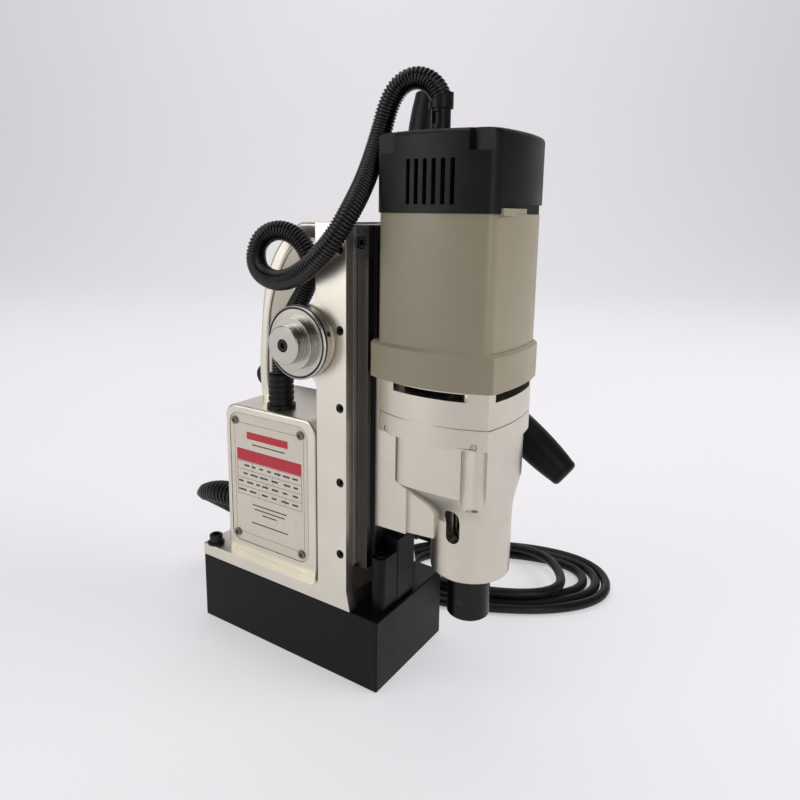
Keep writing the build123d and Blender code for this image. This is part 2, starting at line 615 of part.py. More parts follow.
def mesh_turns():
    """Angles that put each gear's tooth into its partner's gap."""
    to_layshaft = math.degrees(math.atan2(LAYSHAFT_XY[1] - ARMATURE_Y, LAYSHAFT_XY[0]))
    to_spindle = math.degrees(math.atan2(SPINDLE_Y - LAYSHAFT_XY[1], -LAYSHAFT_XY[0]))
    return to_layshaft, to_layshaft + 180 + 180 / 27, to_spindle, to_spindle + 180 + 180 / 24


ARMATURE_TURN, LAYSHAFT_GEAR_TURN, LAYSHAFT_PINION_TURN, SPINDLE_GEAR_TURN = mesh_turns()


def layshaft():
    """Second shaft: a wheel of 27 teeth over a pinion of 10."""
    shaft = rod_z(3, 0, 0, (147, 203.5))
    pinion = Rot(0, 0, LAYSHAFT_PINION_TURN) * involute_gear(1.25, 10, 15)
    wheel = Rot(0, 0, LAYSHAFT_GEAR_TURN) * involute_gear(1.0, 27, 8)
    return Pos(*LAYSHAFT_XY, 0) * (shaft + Pos(0, 0, 168) * pinion + Pos(0, 0, 189) * wheel)


def spindle():
    body = rod_z(14.95, 0, SPINDLE_Y, (NOSE_BOTTOM + 0.3, 146)) + rod_z(10, 0, SPINDLE_Y, (145, 184))
    body -= rod_z(9.0, 0, SPINDLE_Y, (80, 136))
    slot = block((-20, 20), (SPINDLE_Y - 3, SPINDLE_Y + 3), (117, 135))
    return body - slot


def arbor():
    body = rod_z(14, 0, SPINDLE_Y, (SPINDLE_NOSE, NOSE_BOTTOM))
    body += rod_z(8.95, 0, SPINDLE_Y, (NOSE_BOTTOM - 1, 114))
    body = chamfer(body.edges().group_by(Axis.Z)[0], 0.8)
    body -= rod_z(WELDON_RADIUS, 0, SPINDLE_Y, (SPINDLE_NOSE - 1, 84))
    for angle in ARBOR_SCREW_ANGLES:
        body -= arbor_rod(3.02, 5, 20, angle)
    return body


def arbor_rod(radius, near, far, angle):
    rod = Pos(0, 0, (near + far) / 2) * Cylinder(radius, far - near)
    direction = (math.cos(math.radians(angle)), math.sin(math.radians(angle)), 0)
    return placed(rod, (0, SPINDLE_Y, 68), direction)


def brush_gear():
    """Brush boxes and the carbon brushes that run in them."""
    boxes = []
    brushes = []
    for sign in (-1, 1):
        span = sorted((ARMATURE_Y + sign * 15.5, ARMATURE_Y + sign * 33.4))
        hollow = sorted((ARMATURE_Y + sign * 14, ARMATURE_Y + sign * 30))
        brush = sorted((ARMATURE_Y + sign * 13.2, ARMATURE_Y + sign * 26))
        boxes.append(block((-5, 5), span, (301, 311)) - block((-3.2, 3.2), hollow, (302.8, 309.2)))
        brushes.append(block((-3.1, 3.1), brush, (302.9, 309.1)))
    return boxes, brushes


def conduit_fitting():
    """Base, caged neck and clamp ring where the conduit meets the cap."""
    x, y = FITTING_XY
    fitting = rod_z(7.0, x, y, (CAP_TOP, CAP_TOP + 4)) + rod_z(4.9, x, y, (CAP_TOP - 3.5, CAP_TOP + 1))
    fitting += rod_z(6.0, x, y, (CAP_TOP + 3, CAP_TOP + 17)) + rod_z(7.4, x, y, (CAP_TOP + 16, CAP_TOP + 27))
    fitting -= block((x - 20, x + 20), (y - 3, y + 3), (CAP_TOP + 7, CAP_TOP + 14))
    fitting += rod_z(4.4, x, y, (CAP_TOP + 3, CAP_TOP + 18))
    leaning = Vector(*CONDUIT_ROUTE[1]) - Vector(*CONDUIT_ROUTE[0])
    return fitting - placed(Pos(0, 0, 10) * Cylinder(20, 20), CONDUIT_ROUTE[0], leaning)


# ---- electrics ----
def switch_panel():
    y_span = (PANEL_Y[0] + 0.2, PANEL_Y[1] - 0.2)
    z_span = (PANEL_Z[0] + 0.2, PANEL_Z[1] - 0.2)
    panel = rounded_panel(y_span, z_span, 7.8, PANEL_X)
    for y, z in PANEL_SCREWS:
        panel -= rod_x(1.7, (20, 50), y, z)
    for y in (START_Y, STOP_Y):
        panel -= rod_x(7.4, (20, 50), y, BUTTON_Z)
    panel -= block((20, 50), (ROCKER_Y - 10.5, ROCKER_Y + 10.5), (ROCKER_Z - 7, ROCKER_Z + 7))
    return panel - rod_x(3.6, (20, 50), LENS_Y, LENS_Z)


def push_button(y):
    cap = rod_x(7.0, (PANEL_X[1] - 5, PANEL_X[1] + 4.5), y, BUTTON_Z)
    cap = fillet(cap.edges().sort_by(Axis.X)[-1], 1.0)
    return cap + rod_x(8.2, (PANEL_X[0] - 2.6, PANEL_X[0] - 0.4), y, BUTTON_Z)


def switch_bodies():
    """Contact blocks behind the buttons and the rocker's cup."""
    bodies = []
    for y in (START_Y, STOP_Y):
        case = block((8, PANEL_X[0]), (y - 11, y + 11), (BUTTON_Z - 13, BUTTON_Z + 13))
        bodies.append(case - rod_x(8.6, (PANEL_X[0] - 9, 60), y, BUTTON_Z))
    cup = block((8, PANEL_X[0]), (ROCKER_Y - 13, ROCKER_Y + 13), (ROCKER_Z - 9, ROCKER_Z + 9))
    rim_x = (PANEL_X[0] - 1, PANEL_X[1] + 1)
    cup += block(rim_x, (ROCKER_Y - 10.3, ROCKER_Y + 10.3), (ROCKER_Z - 6.8, ROCKER_Z + 6.8))
    cup -= block((PANEL_X[0] - 8, 60), (ROCKER_Y - 9.6, ROCKER_Y + 9.6), (ROCKER_Z - 5.5, ROCKER_Z + 5.5))
    return bodies + [cup]


def magnet_rocker():
    """Rocker turning about a vertical pin behind the panel face."""
    near, far = ROCKER_Y - ROCKER_HALF, ROCKER_Y + ROCKER_HALF
    outline = make_face(Polyline(
        (ROCKER_PIN_X, ROCKER_Y - 3), (ROCKER_PIN_X, ROCKER_Y + 3), (37.2, far), (39.0, far),
        (36.6, ROCKER_Y), (37.6, near), (35.8, near), close=True,
    ))
    outline += Pos(ROCKER_PIN_X, ROCKER_Y) * Circle(3)
    return Pos(0, 0, ROCKER_Z - 5.2) * extrude(outline, 10.4)


def name_plate():
    plate = rounded_panel(
        (PLATE_Y[0] + 0.6, PLATE_Y[1] - 0.3), (PLATE_Z[0] + 0.4, PLATE_Z[1] - 0.4), 8.4,
        (-BOX_HALF_WIDTH + 0.5, -BOX_HALF_WIDTH + 1.5),
    )
    for y, z in PLATE_SCREWS:
        plate -= rod_x(1.6, (-40, -20), y, z)
    return plate


def screw_set(screw, places, x, direction):
    return [placed(screw, (x, y, z), direction) for y, z in places]


def lower_gland():
    """Ribbed gland that holds the conduit's lower end on the box."""
    gland = rod_z(7.0, *GLAND_XY, (BOX_TOP - 4, BOX_TOP + 1))
    gland += rod_z(10.4, *GLAND_XY, (BOX_TOP, BOX_TOP + 3))
    gland += rod_z(8.4, *GLAND_XY, (BOX_TOP + 2, GLAND_TOP))
    for rib in range(5):
        z = BOX_TOP + 6 + 4.2 * rib
        gland += rod_z(9.2, *GLAND_XY, (z, z + 2.2))
    return gland


def boot():
    """Tapered strain relief that curves down to the cord."""
    root = rod_y(9.0, BOOT_X, (BOX_REAR - 4, BOX_REAR + 1), BOOT_Z)
    root += rod_y(11.5, BOOT_X, (BOX_REAR, BOX_REAR + 4), BOOT_Z)
    stations = [(BOOT_X, BOX_REAR + 3, BOOT_Z, 10.8), *[(x, y, z, r) for (x, y, z), r in BOOT_STATIONS]]
    centres = [Vector(x, y, z) for x, y, z, _ in stations]
    sections = []
    for index, (x, y, z, radius) in enumerate(stations):
        before = centres[max(index - 1, 0)]
        after = centres[min(index + 1, len(centres) - 1)]
        direction = Vector(0, 1, 0) if index == 0 else after - before
        if index == len(stations) - 1:
            direction = Vector(*CORD_ROUTE[1]) - Vector(*CORD_ROUTE[0])
        sections.append(Plane(origin=(x, y, z), z_dir=direction) * Circle(radius))
    return root + loft(sections)


def coil_envelope():
    """Closed outer shape of the loose oval turns on the floor."""
    ring = extrude(Ellipse(*COIL_OUTER) - Ellipse(*COIL_INNER), COIL_HEIGHT)
    return Pos(*COIL_CENTRE, 0) * (Rot(0, 0, COIL_TILT) * ring)


def mains_plug():
    """Moulded two-pin plug lying on its side behind the coil."""
    x, y = PLUG_AT
    body = loft([
        Plane(origin=(x, y, 12), z_dir=(0, 1, 0)) * Circle(5.0),
        Plane(origin=(x, y + 14, 14), z_dir=(0, 1, 0)) * Circle(9.0),
        Plane(origin=(x, y + 34, 16), z_dir=(0, 1, 0)) * Circle(15.9),
        Plane(origin=(x, y + 46, 16), z_dir=(0, 1, 0)) * Circle(15.9),
    ])
    for offset in (-9.5, 9.5):
        body -= rod_y(2.35, x + offset, (y + 40, y + 50), 16)
    return body


def plug_pins():
    x, y = PLUG_AT
    return [rod_y(2.35, x + offset, (y + 41, y + 65), 16) for offset in (-9.5, 9.5)]


def front_stop_block():
    """Low step with a screw beside a taller post, on the magnet."""
    low = block((-31.6, -13), (-79, -68.4), (MAGNET_HEIGHT, STOP_TOPS[0]))
    low = fillet(low.edges().filter_by(Axis.Z).sort_by(Axis.X)[:2], 4.0)
    post = block((-14, 8), (-79.5, -68.2), (MAGNET_HEIGHT, STOP_TOPS[1]))
    post = fillet(post.edges().filter_by(Axis.Z), 1.0)
    body = low + post
    for (x, y), top in zip(STOP_SCREWS, STOP_TOPS):
        body -= rod_z(2.55, x, y, (40, 120)) + rod_z(4.6, x, y, (top - 5, top + 1))
    return body


def build_stand():
    magnet = magnet_housing()
    for x, y in STOP_SCREWS:
        magnet -= rod_z(2.5, x, y, (MAGNET_HEIGHT - 12, MAGNET_HEIGHT + 1))
    save("magnet_housing", magnet)
    save("magnet_coils", Compound(pole_ring(33.8, 30.8, 20.2, 17.2, (5, 35.8))))
    save("magnet_potting", Compound(pole_ring(33.95, 30.95, 20.05, 17.05, (0.3, 4.8))))
    save("stand_frame", stand_frame())
    save("carry_handle", carry_handle())
    save("gib_strips", Compound(gib_strips()))
    save("gib_set_screws", Compound(gib_set_screws()))
    foot_screw = cap_screw(5.0, 6.0, 2.98, 20) + ring_z(6.4, 3.2, 0, 0, (-1.6, 0.01))
    m5_screw = cap_screw(4.2, 5.0, 2.45, 45)
    screws = [Pos(x, y, FOOT_TOP + 1.6) * foot_screw for x, y in FOOT_SCREWS]
    stop_screws = [Pos(x, y, top - 5) * m5_screw for (x, y), top in zip(STOP_SCREWS, STOP_TOPS)]
    save("base_screws", Compound(screws + stop_screws))
    save("front_stop_block", front_stop_block())
    bushes = []
    for low, high in ((-42.4, -34.6), (34.6, 42.4)):
        bush = rod_x(16.55, (low, high), FEED_Y, FEED_Z)
        bushes.append(bush - rod_x(10.05, (low - 1, high + 1), FEED_Y, FEED_Z))
    save("feed_bushes", Compound(bushes))


def build_electrics():
    save("name_plate", name_plate())
    plate_screw = cap_screw(3.0, 1.6, 1.5, 4)
    plate_screws = screw_set(plate_screw, PLATE_SCREWS, -BOX_HALF_WIDTH + 0.5, (-1, 0, 0))
    save("name_plate_screws", Compound(plate_screws))
    save("switch_panel", switch_panel())
    panel_screw = cap_screw(3.2, 2.0, 1.5, 10)
    save("panel_screws", Compound(screw_set(panel_screw, PANEL_SCREWS, PANEL_X[1], (1, 0, 0))))
    save("switch_bodies", Compound(switch_bodies()))
    save("start_button", push_button(START_Y))
    save("stop_button", push_button(STOP_Y))
    save("magnet_rocker", magnet_rocker())
    lens = rod_x(3.5, (PANEL_X[0] - 1, PANEL_X[1] + 1.5), LENS_Y, LENS_Z)
    save("pilot_lens", fillet(lens.edges().sort_by(Axis.X)[-1], 1.2))
    board = block((-29.5, -27.9), (-14, 52), (70, 165))
    for y, z, width, height, depth in ((0, 120, 24, 30, 14), (34, 120, 26, 26, 20), (18, 88, 44, 12, 12)):
        board += block((-28, -28 + depth), (y - width / 2, y + width / 2), (z - height / 2, z + height / 2))
    save("control_board", board)
    save("conduit_gland", lower_gland())
    save("conduit", tube_route(CONDUIT_ROUTE, CONDUIT_RADIUS, "conduit"))
    save("cord_boot", boot())
    save("mains_cord", tube_route(CORD_ROUTE, CORD_RADIUS, "mains cord"))
    save("mains_cord_coil", coil_envelope())
    save("mains_plug", mains_plug())
    save("plug_pins", Compound(plug_pins()))


def build_carriage():
    save("slide", slide())
    save("rack", rack())
    save("slide_top_block", top_block())
    top_screw = cap_screw(3.8, 4.6, 2.0, 10)
    save("top_block_screw", placed(top_screw, (TOP_SCREW_SEAT, TOP_SCREW_Y, TOP_SCREW_Z), (-1, 0, 0)))
    save("gear_case", gear_case())
    case_screw = cap_screw(3.5, 4.0, 1.95, 45)
    upward = [Pos(x, y, CASE_SCREW_SEAT) * (Rot(180, 0, 0) * case_screw) for x, y in CASE_SCREWS]
    save("gear_plate", gear_plate())
    save("motor_housing", motor_housing())
    save("motor_end_cap", motor_end_cap())
    cap_bolt = cap_screw(4.0, 4.0, 1.75, 40)
    downward = [Pos(x, y, CAP_SCREW_SEAT) * cap_bolt for x, y in CAP_SCREWS]
    save("motor_screws", Compound(upward + downward))
    save("stator_core", ring_z(MOTOR_BORE - RUN_GAP, 22.3, 0, ARMATURE_Y, (240, 284)))
    coils = [ring_z(33, 23.5, 0, ARMATURE_Y, z) for z in ((229, 239.9), (284.1, 294))]
    save("field_coils", Compound(coils))
    boxes, brushes = brush_gear()
    save("brush_boxes", Compound(boxes))
    save("carbon_brushes", Compound(brushes))
    save("spindle_bearings", Compound([
        ring_z(21.0, 15.0, 0, SPINDLE_Y, (93, 105.8)), ring_z(15.0, 10.05, 0, SPINDLE_Y, (147, 156)),
    ]))
    save("shaft_bearings", Compound([
        ring_z(5.45, 3.05, *LAYSHAFT_XY, (147, 152)), ring_z(5.45, 3.05, *LAYSHAFT_XY, (200.2, 203.8)),
        ring_z(9.5, 5.05, 0, ARMATURE_Y, (200.5, 207)), ring_z(11.0, 5.05, 0, ARMATURE_Y, (345.5, 352.5)),
    ]))
    save("spindle_seal", ring_z(21.0, 15.1, 0, SPINDLE_Y, (89.6, 92.8)))
    save("conduit_fitting", conduit_fitting())


def build_moving_shafts():
    save("armature_shaft", armature_shaft())
    save("armature_core", armature_core())
    save("commutator", commutator())
    save("cooling_fan", cooling_fan())
    save("layshaft", layshaft())
    save("spindle", spindle())
    wheel = Rot(0, 0, SPINDLE_GEAR_TURN) * involute_gear(1.25, 24, 12, shaft=10.02)
    save("spindle_gear", Pos(0, SPINDLE_Y, 169.5) * wheel)
    save("arbor", arbor())
    grub_screws = [arbor_rod(3.0, WELDON_RADIUS + 0.1, 13.6, angle) for angle in ARBOR_SCREW_ANGLES]
    save("arbor_screws", Compound(grub_screws))
    save("feed_shaft", feed_shaft())
    save("left_hub", left_hub())
    save("o_rings", Compound(o_rings()))
    hub_screw = cap_screw(3.9, 3.0, 2.5, 16)
    left_screw = placed(hub_screw, (-61.5, FEED_Y, FEED_Z), (-1, 0, 0))
    right_screw = placed(hub_screw, (90.5, FEED_Y, FEED_Z), (1, 0, 0))
    save("hub_screws", Compound([left_screw, right_screw]))
    save("capstan_hub", capstan_hub())
    save("spokes", Compound([radial_rod(6.0, 12, CAPSTAN_REACH - 10, angle) for angle in ARM_ANGLES]))
    save("grips", Compound([grip(angle) for angle in ARM_ANGLES]))


build_stand()
build_electrics()
build_carriage()
build_moving_shafts()
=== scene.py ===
import math
import random

import bmesh
import bpy
from mathutils import Matrix, Vector


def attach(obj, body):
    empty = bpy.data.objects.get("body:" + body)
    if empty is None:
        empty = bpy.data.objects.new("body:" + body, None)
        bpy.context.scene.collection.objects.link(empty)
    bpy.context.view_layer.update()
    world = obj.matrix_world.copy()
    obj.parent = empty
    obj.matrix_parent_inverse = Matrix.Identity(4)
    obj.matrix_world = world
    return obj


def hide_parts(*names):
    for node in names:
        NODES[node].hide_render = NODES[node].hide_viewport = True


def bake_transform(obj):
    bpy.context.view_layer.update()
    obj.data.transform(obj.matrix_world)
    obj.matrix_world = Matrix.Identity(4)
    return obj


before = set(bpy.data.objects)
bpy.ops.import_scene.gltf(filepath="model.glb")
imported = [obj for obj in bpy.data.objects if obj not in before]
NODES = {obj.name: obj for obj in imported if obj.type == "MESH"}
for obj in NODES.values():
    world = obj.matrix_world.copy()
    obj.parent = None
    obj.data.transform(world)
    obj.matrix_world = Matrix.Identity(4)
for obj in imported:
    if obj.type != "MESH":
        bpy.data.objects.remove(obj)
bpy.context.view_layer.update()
MM = 0.001

# Routes and the sizes of pieces are in millimetres. Camera, lights, stage and textures are in metres.


# ---------------------------------------------------------------- camera
CAMERA_PLACE = (-0.3757, -0.3113, 0.3162)
CAMERA_YAW = 56.60
CAMERA_PITCH = 10.95
CAMERA_ROLL = 0.76
CAMERA_SHIFT = (0.0097, -0.0686)
SENSOR_WIDTH = 36
FOCAL_LENGTH = 30.69


def make_camera():
    """Camera at the photograph's viewing angle, on the name plate's side."""
    yaw, pitch, roll = (math.radians(angle) for angle in (CAMERA_YAW, CAMERA_PITCH, CAMERA_ROLL))
    forward = Vector((math.sin(yaw) * math.cos(pitch), math.cos(yaw) * math.cos(pitch), -math.sin(pitch)))
    level = Vector((math.cos(yaw), -math.sin(yaw), 0))
    upright = level.cross(forward)
    right = math.cos(roll) * level + math.sin(roll) * upright
    up = -math.sin(roll) * level + math.cos(roll) * upright
    data = bpy.data.cameras.new("camera")
    data.sensor_width = SENSOR_WIDTH
    data.lens = FOCAL_LENGTH
    data.shift_x, data.shift_y = CAMERA_SHIFT
    camera = bpy.data.objects.new("camera", data)
    bpy.context.scene.collection.objects.link(camera)
    turn = Matrix((right, up, -forward)).transposed().to_4x4()
    camera.matrix_world = Matrix.Translation(Vector(CAMERA_PLACE)) @ turn
    bpy.context.scene.camera = camera


# ---------------------------------------------------------------- mesh helpers
CURVE_STEPS = 12


def link(obj):
    bpy.context.scene.collection.objects.link(obj)
    return obj


def mesh_piece(name, bm, material, smooth=40):
    """Object from a bmesh, with faces smooth below an angle in degrees."""
    bmesh.ops.recalc_face_normals(bm, faces=bm.faces)
    for face in bm.faces:
        face.smooth = True
    for edge in bm.edges:
        if len(edge.link_faces) == 2 and edge.calc_face_angle(0) > math.radians(smooth):
            edge.smooth = False
    data = bpy.data.meshes.new(name)
    bm.to_mesh(data)
    bm.free()
    data.materials.append(material)
    return link(bpy.data.objects.new(name, data))


def route_curve(name, points):
    """Smooth open NURBS line through a route given in millimetres."""
    data = bpy.data.curves.new(name, "CURVE")
    data.dimensions = "3D"
    spline = data.splines.new("NURBS")
    spline.points.add(len(points) - 1)
    for target, point in zip(spline.points, points):
        target.co = (*(value * MM for value in point), 1)
    spline.order_u = 3
    spline.use_endpoint_u = True
    spline.resolution_u = CURVE_STEPS
    data.resolution_u = CURVE_STEPS
    return link(bpy.data.objects.new(name, data))


def line_of(curve):
    """Points along the smooth line of a curve object, as vectors in metres."""
    bpy.context.view_layer.update()
    mesh = bpy.data.meshes.new_from_object(curve)
    points = [vertex.co.copy() for vertex in mesh.vertices]
    bpy.data.meshes.remove(mesh)
    return points


def guide_line(name, route):
    """Points along the smooth line of a route, without keeping its curve."""
    guide = route_curve(name, route)
    points = line_of(guide)
    bpy.data.objects.remove(guide)
    return points


def length_of(points):
    return sum((b - a).length for a, b in zip(points, points[1:]))


def resample(points, step):
    """The same line with points a fixed step apart."""
    lengths = [0.0]
    for a, b in zip(points, points[1:]):
        lengths.append(lengths[-1] + (b - a).length)
    count = max(2, round(lengths[-1] / step))
    result = []
    index = 0
    for k in range(count + 1):
        at = lengths[-1] * k / count
        while index < len(points) - 2 and lengths[index + 1] < at:
            index += 1
        span = max(lengths[index + 1] - lengths[index], 1e-9)
        result.append(points[index].lerp(points[index + 1], (at - lengths[index]) / span))
    return result


def swept_tube(points, radius_at, segments):
    """Closed bmesh tube along points; radius_at gives the radius by index."""
    bm = bmesh.new()
    side = None
    rings = []
    for i, point in enumerate(points):
        ahead = points[min(i + 1, len(points) - 1)]
        behind = points[max(i - 1, 0)]
        along = (ahead - behind).normalized()
        if side is None:
            side = along.orthogonal().normalized()
        side = (side - along * side.dot(along)).normalized()
        across = along.cross(side)
        radius = radius_at(i)
        ring = []
        for k in range(segments):
            angle = 2 * math.pi * k / segments
            ring.append(bm.verts.new(point + radius * (math.cos(angle) * side + math.sin(angle) * across)))
        rings.append(ring)
    for low, high in zip(rings, rings[1:]):
        for k in range(segments):
            bm.faces.new((low[k], low[(k + 1) % segments], high[(k + 1) % segments], high[k]))
    bm.faces.new(list(reversed(rings[0])))
    bm.faces.new(rings[-1])
    return bm


def slab(bm, low, high):
    """Box between two corners, in millimetres, added to a bmesh."""
    made = bmesh.ops.create_cube(bm, size=1)["verts"]
    low, high = Vector(low) * MM, Vector(high) * MM
    for vertex in made:
        vertex.co = Vector(a + (c + 0.5) * (b - a) for a, b, c in zip(low, high, vertex.co))


# ---------------------------------------------------------------- materials
EDGE_RADIUS = 0.0004
EDGE_SAMPLES = 4
# Nearly all values of a noise texture lie between the low and the high one.
NOISE_LOW, NOISE_MIDDLE, NOISE_HIGH = 0.3, 0.5, 0.7
TURNED_RING_SCALE = 2600
METAL_PATCH_SCALE = 38
PAINT_PATCH_SCALE = 22
UNEVEN_SCALE = 60
METAL_GRAIN_DEPTH = 0.00008
PAINT_GRAIN_DEPTH = 0.00010
UNEVEN_STRENGTH = 0.05
UNEVEN_DEPTH = 0.0006
METAL_GLOSS_CHANGE = 0.05
PAINT_GLOSS_CHANGE = 0.07
COAT_ROUGHNESS = 0.12


class Shade:
    """One node material: a Principled surface fed by procedural textures."""

    def __init__(self, name, **settings):
        self.material = bpy.data.materials.new(name)
        self.material.use_nodes = True
        self.nodes = self.material.node_tree.nodes
        self.links = self.material.node_tree.links
        self.surface = self.nodes["Principled BSDF"]
        for socket, value in settings.items():
            self.surface.inputs[socket.replace("_", " ")].default_value = value
        self.place = self.nodes.new("ShaderNodeTexCoord").outputs["Object"]
        worn_edge = self.nodes.new("ShaderNodeBevel")
        worn_edge.samples = EDGE_SAMPLES
        worn_edge.inputs["Radius"].default_value = EDGE_RADIUS
        self.links.new(worn_edge.outputs["Normal"], self.surface.inputs["Normal"])

    def stretched(self, scale):
        mapping = self.nodes.new("ShaderNodeMapping")
        mapping.inputs["Scale"].default_value = scale
        self.links.new(self.place, mapping.inputs["Vector"])
        return mapping.outputs["Vector"]

    def turned(self, axis, centre):
        """Coordinates that change along an axis and away from it only."""
        split = self.nodes.new("ShaderNodeSeparateXYZ")
        self.links.new(self.place, split.inputs[0])
        across = [i for i in range(3) if i != axis]
        squares = []
        for i, middle in zip(across, centre):
            offset = self.maths("SUBTRACT", split.outputs[i], middle)
            squares.append(self.maths("MULTIPLY", offset, offset))
        radius = self.maths("SQRT", self.maths("ADD", squares[0], squares[1]), 0.0)
        join = self.nodes.new("ShaderNodeCombineXYZ")
        self.links.new(split.outputs[axis], join.inputs[0])
        self.links.new(radius, join.inputs[1])
        return join.outputs[0]

    def maths(self, operation, first, second):
        node = self.nodes.new("ShaderNodeMath")
        node.operation = operation
        for socket, value in zip(node.inputs, (first, second)):
            if isinstance(value, (int, float)):
                socket.default_value = value
            else:
                self.links.new(value, socket)
        return node.outputs[0]

    def noise(self, scale, detail, rough=0.55, vector=None):
        node = self.nodes.new("ShaderNodeTexNoise")
        node.inputs["Scale"].default_value = scale
        node.inputs["Detail"].default_value = detail
        node.inputs["Roughness"].default_value = rough
        self.links.new(vector or self.place, node.inputs["Vector"])
        return node.outputs["Fac"]

    def ramp(self, source, stops):
        node = self.nodes.new("ShaderNodeValToRGB")
        elements = node.color_ramp.elements
        for element, (at, colour) in zip((elements[0], elements[1]), (stops[0], stops[-1])):
            element.position = at
            element.color = (*colour, 1)
        for at, colour in stops[1:-1]:
            elements.new(at).color = (*colour, 1)
        self.links.new(source, node.inputs["Fac"])
        return node.outputs["Color"]

    def spread(self, source, middle, change):
        """The usual values of a noise, spread over a change on both sides of a middle."""
        node = self.nodes.new("ShaderNodeMapRange")
        node.inputs["From Min"].default_value = NOISE_LOW
        node.inputs["From Max"].default_value = NOISE_HIGH
        node.inputs["To Min"].default_value = middle - change
        node.inputs["To Max"].default_value = middle + change
        self.links.new(source, node.inputs["Value"])
        return node.outputs["Result"]

    def colour(self, source):
        self.links.new(source, self.surface.inputs["Base Color"])
        return self

    def roughness(self, source):
        self.links.new(source, self.surface.inputs["Roughness"])
        return self

    def bump(self, source, strength, depth):
        node = self.nodes.new("ShaderNodeBump")
        node.inputs["Strength"].default_value = strength
        node.inputs["Distance"].default_value = depth
        self.links.new(source, node.inputs["Height"])
        before = self.surface.inputs["Normal"]
        if before.is_linked:
            self.links.new(before.links[0].from_socket, node.inputs["Normal"])
        self.links.new(node.outputs["Normal"], self.surface.inputs["Normal"])
        return self


def shades(colour, share):
    """Three stops: a colour with a share darker before it and a share lighter after it."""
    dark = tuple(c * (1 - share) for c in colour)
    light = tuple(min(1.0, c * (1 + share)) for c in colour)
    return [(NOISE_LOW, dark), (NOISE_MIDDLE, colour), (NOISE_HIGH, light)]


def metal(name, colour, rough, streak=None, turned=None, patch=0.05, bump=0.25):
    """Machined or cast metal. Either streak stretches the grain, or turned makes rings of it."""
    shade = Shade(name, Metallic=1.0)
    grain_place = shade.turned(*turned) if turned else shade.stretched(streak)
    grain = shade.noise(TURNED_RING_SCALE if turned else 1.0, 5, 0.6, grain_place)
    shade.colour(shade.ramp(shade.noise(METAL_PATCH_SCALE, 5, 0.6), shades(colour, patch)))
    shade.roughness(shade.spread(grain, rough, METAL_GLOSS_CHANGE))
    shade.bump(grain, bump, METAL_GRAIN_DEPTH)
    return shade.bump(shade.noise(UNEVEN_SCALE, 3), UNEVEN_STRENGTH, UNEVEN_DEPTH).material


def painted(name, colour, rough, grain_scale, bump=0.25, coat=0.0, patch=0.12, gloss=0.5):
    """Paint, plastic or rubber with a fine moulded or sprayed texture."""
    shade = Shade(name, Coat_Weight=coat, Coat_Roughness=COAT_ROUGHNESS, Specular_IOR_Level=gloss)
    shade.colour(shade.ramp(shade.noise(PAINT_PATCH_SCALE, 5, 0.6), shades(colour, patch)))
    shade.roughness(shade.spread(shade.noise(UNEVEN_SCALE, 6, 0.65), rough, PAINT_GLOSS_CHANGE))
    return shade.bump(shade.noise(grain_scale, 3, 0.5), bump, PAINT_GRAIN_DEPTH).material


# The axis that a turned part was turned about: its direction, and its place across that direction.
FEED_AXIS = (0, (-0.024, 0.234))
SPINDLE_AXIS = (2, (0.0, -0.127))

# After its name, each material has a colour, a roughness, and the stretch or scale of its grain,
# or the axis that it was turned about.
CASTING = metal("cast_silver", (0.71, 0.672, 0.585), 0.34, (4200, 4200, 300), patch=0.04, bump=0.12)
CASE_METAL = metal("case_silver", (0.640, 0.603, 0.522), 0.31, (3600, 3600, 900), patch=0.04, bump=0.10)
TURNED = metal("turned_steel", (0.50, 0.48, 0.43), 0.24, turned=FEED_AXIS, bump=0.5)
GIB_STEEL = metal("gib_steel", (0.92, 0.89, 0.84), 0.34, (4000, 4000, 120))
PLATE_SCREW = metal("plate_screw_steel", (0.20, 0.18, 0.145), 0.34, (1500, 1500, 1500))
GEAR_STEEL = metal("gear_steel", (0.45, 0.44, 0.42), 0.32, (1500, 1500, 1500))
BLACK_TOOL = metal("black_tool_steel", (0.028, 0.027, 0.026), 0.30, turned=SPINDLE_AXIS, bump=0.5)
BLACK_OXIDE = metal("black_oxide", (0.035, 0.035, 0.036), 0.38, (1800, 1800, 1800))
COPPER = metal("copper", (0.72, 0.30, 0.15), 0.35, (2000, 2000, 200))
BRASS = metal("brass", (0.72, 0.52, 0.24), 0.30, (1800, 200, 1800))
BRONZE = metal("bronze", (0.45, 0.28, 0.13), 0.42, (2500, 2500, 2500))
SLIDE_STEEL = metal("slide_dark_steel", (0.066, 0.064, 0.062), 0.34, (4200, 4200, 160), patch=0.06, bump=0.2)
SLIDE_BLACK = painted("slide_black", (0.010, 0.010, 0.0105), 0.28, 1400, 0.2, gloss=0.6)
MAGNET_BLACK = painted("magnet_black", (0.0030, 0.0028, 0.0030), 0.36, 700, 0.3, gloss=0.16)
HOUSING = painted("housing_beige", (0.253, 0.223, 0.152), 0.36, 2300, 0.25, patch=0.03, gloss=0.5)
CAP_BLACK = painted("cap_black", (0.0062, 0.0059, 0.0050), 0.42, 2300, 0.35, gloss=0.22)
CONDUIT = painted("conduit_black", (0.0035, 0.0035, 0.0037), 0.24, 900, 0.1, gloss=0.45)
RUBBER = painted("cord_rubber", (0.0055, 0.0055, 0.0057), 0.42, 1500, 0.25, gloss=0.3)
RESIN = painted("potting_resin", (0.03, 0.03, 0.033), 0.5, 300, 0.2)
BOARD = painted("board_green", (0.01, 0.09, 0.035), 0.45, 800)
GREEN = painted("button_green", (0.01, 0.24, 0.05), 0.28, 1500, 0.15, coat=0.4)
RED = painted("button_red", (0.45, 0.012, 0.010), 0.28, 1500, 0.15, coat=0.4)
